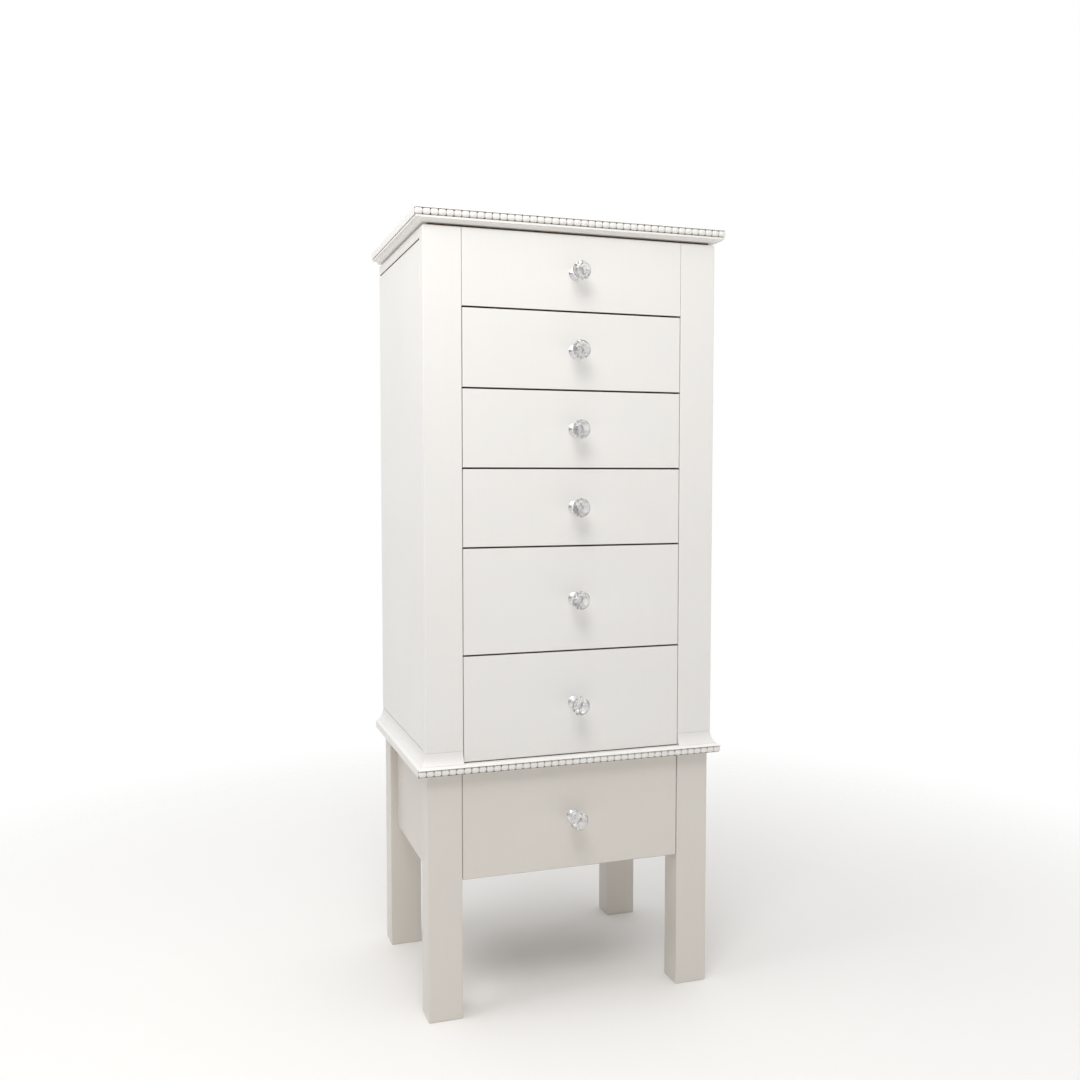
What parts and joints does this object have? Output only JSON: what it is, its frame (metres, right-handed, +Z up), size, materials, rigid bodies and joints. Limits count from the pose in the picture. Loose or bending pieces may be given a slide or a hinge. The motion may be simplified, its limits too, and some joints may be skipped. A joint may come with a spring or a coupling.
{
  "type": "jewelry armoire",
  "caption": "White jewelry chest on tall legs with a mirror lid over a ring well, hinged side panels with necklace hooks, crystal-knobbed drawers and beaded mouldings.",
  "frame": {"origin": "on the floor, under the middle of the closed armoire's box, knobs and hinges included", "axes": "+Z up, +X to the right as seen from the front, -Y out of the drawer fronts"},
  "size_m": [0.416, 0.3282, 1.016],
  "materials": {
    "lacquer": "satin white lacquer on board",
    "base_lacquer": "satin warm white lacquer on board",
    "drawer_box": "matt white painted board with felt lining",
    "crystal": "clear faceted crystal on a chrome rosette",
    "chrome": "polished chrome",
    "dark_metal": "dark burnished steel",
    "hinge_steel": "satin nickel plated steel",
    "mirror": "silvered glass",
    "gold_cord": "twisted gold cord",
    "velvet": "short velvet",
    "catch_plastic": "moulded plastic"
  },
  "bodies": {
    "cabinet": {"leg_front_left": "base_lacquer", "leg_front_right": "base_lacquer", "leg_rear_left": "base_lacquer", "leg_rear_right": "base_lacquer", "apron_left": "base_lacquer", "apron_right": "base_lacquer", "apron_rear": "base_lacquer", "base_runners": "base_lacquer", "waist_board": "lacquer", "waist_beading": "lacquer", "sill_left": "lacquer", "sill_right": "lacquer", "stile_left": "lacquer", "stile_right": "lacquer", "top_panel": "lacquer", "knob_top": "crystal", "drawer_wall_left": "lacquer", "drawer_wall_right": "lacquer", "back_panel": "lacquer", "top_rails": "lacquer", "shelves": "lacquer", "ring_cushion": "velvet", "hinge_plates": "hinge_steel", "hinge_pins": "hinge_steel", "magnet_catches": "catch_plastic"},
    "lid": {"lid_board": "lacquer", "lid_frame": "lacquer", "lid_beading": "lacquer", "mirror": "mirror", "lid_hinge_leaves": "hinge_steel"},
    "door_left": {"door_left": "lacquer", "hooks_left": "chrome", "fittings_left": "dark_metal", "cord_upper_left": "gold_cord", "cord_lower_left": "gold_cord", "hinge_leaves_left": "hinge_steel"},
    "door_right": {"door_right": "lacquer", "hooks_right": "chrome", "fittings_right": "dark_metal", "cord_upper_right": "gold_cord", "cord_lower_right": "gold_cord", "hinge_leaves_right": "hinge_steel"},
    "drawer_1": {"drawer_front_1": "lacquer", "drawer_box_1": "drawer_box", "knob_1": "crystal"},
    "drawer_2": {"drawer_front_2": "lacquer", "drawer_box_2": "drawer_box", "knob_2": "crystal"},
    "drawer_3": {"drawer_front_3": "lacquer", "drawer_box_3": "drawer_box", "knob_3": "crystal"},
    "drawer_4": {"drawer_front_4": "lacquer", "drawer_box_4": "drawer_box", "knob_4": "crystal"},
    "drawer_5": {"drawer_front_5": "lacquer", "drawer_box_5": "drawer_box", "knob_5": "crystal"},
    "drawer_6": {"drawer_front_6": "base_lacquer", "drawer_box_6": "drawer_box", "knob_6": "crystal"}
  },
  "joints": [
    {"name": "lid_hinge", "type": "hinge", "parent": "cabinet", "child": "lid", "pos_m": [0, 0.16175, 0.998], "axis": [-1, 0, 0], "range_deg": [0, 100]},
    {"name": "door_left_hinge", "type": "hinge", "parent": "cabinet", "child": "door_left", "pos_m": [-0.1823, 0.16175, 0.66], "axis": [0, 0, -1], "range_deg": [0, 105]},
    {"name": "door_right_hinge", "type": "hinge", "parent": "cabinet", "child": "door_right", "pos_m": [0.1823, 0.16175, 0.66], "axis": [0, 0, 1], "range_deg": [0, 105]},
    {"name": "drawer_1_slide", "type": "slide", "parent": "cabinet", "child": "drawer_1", "axis": [0, -1, 0], "range_m": [0, 0.17]},
    {"name": "drawer_2_slide", "type": "slide", "parent": "cabinet", "child": "drawer_2", "axis": [0, -1, 0], "range_m": [0, 0.17]},
    {"name": "drawer_3_slide", "type": "slide", "parent": "cabinet", "child": "drawer_3", "axis": [0, -1, 0], "range_m": [0, 0.17]},
    {"name": "drawer_4_slide", "type": "slide", "parent": "cabinet", "child": "drawer_4", "axis": [0, -1, 0], "range_m": [0, 0.17]},
    {"name": "drawer_5_slide", "type": "slide", "parent": "cabinet", "child": "drawer_5", "axis": [0, -1, 0], "range_m": [0, 0.17]},
    {"name": "drawer_6_slide", "type": "slide", "parent": "cabinet", "child": "drawer_6", "axis": [0, -1, 0], "range_m": [0, 0.16]}
  ]
}
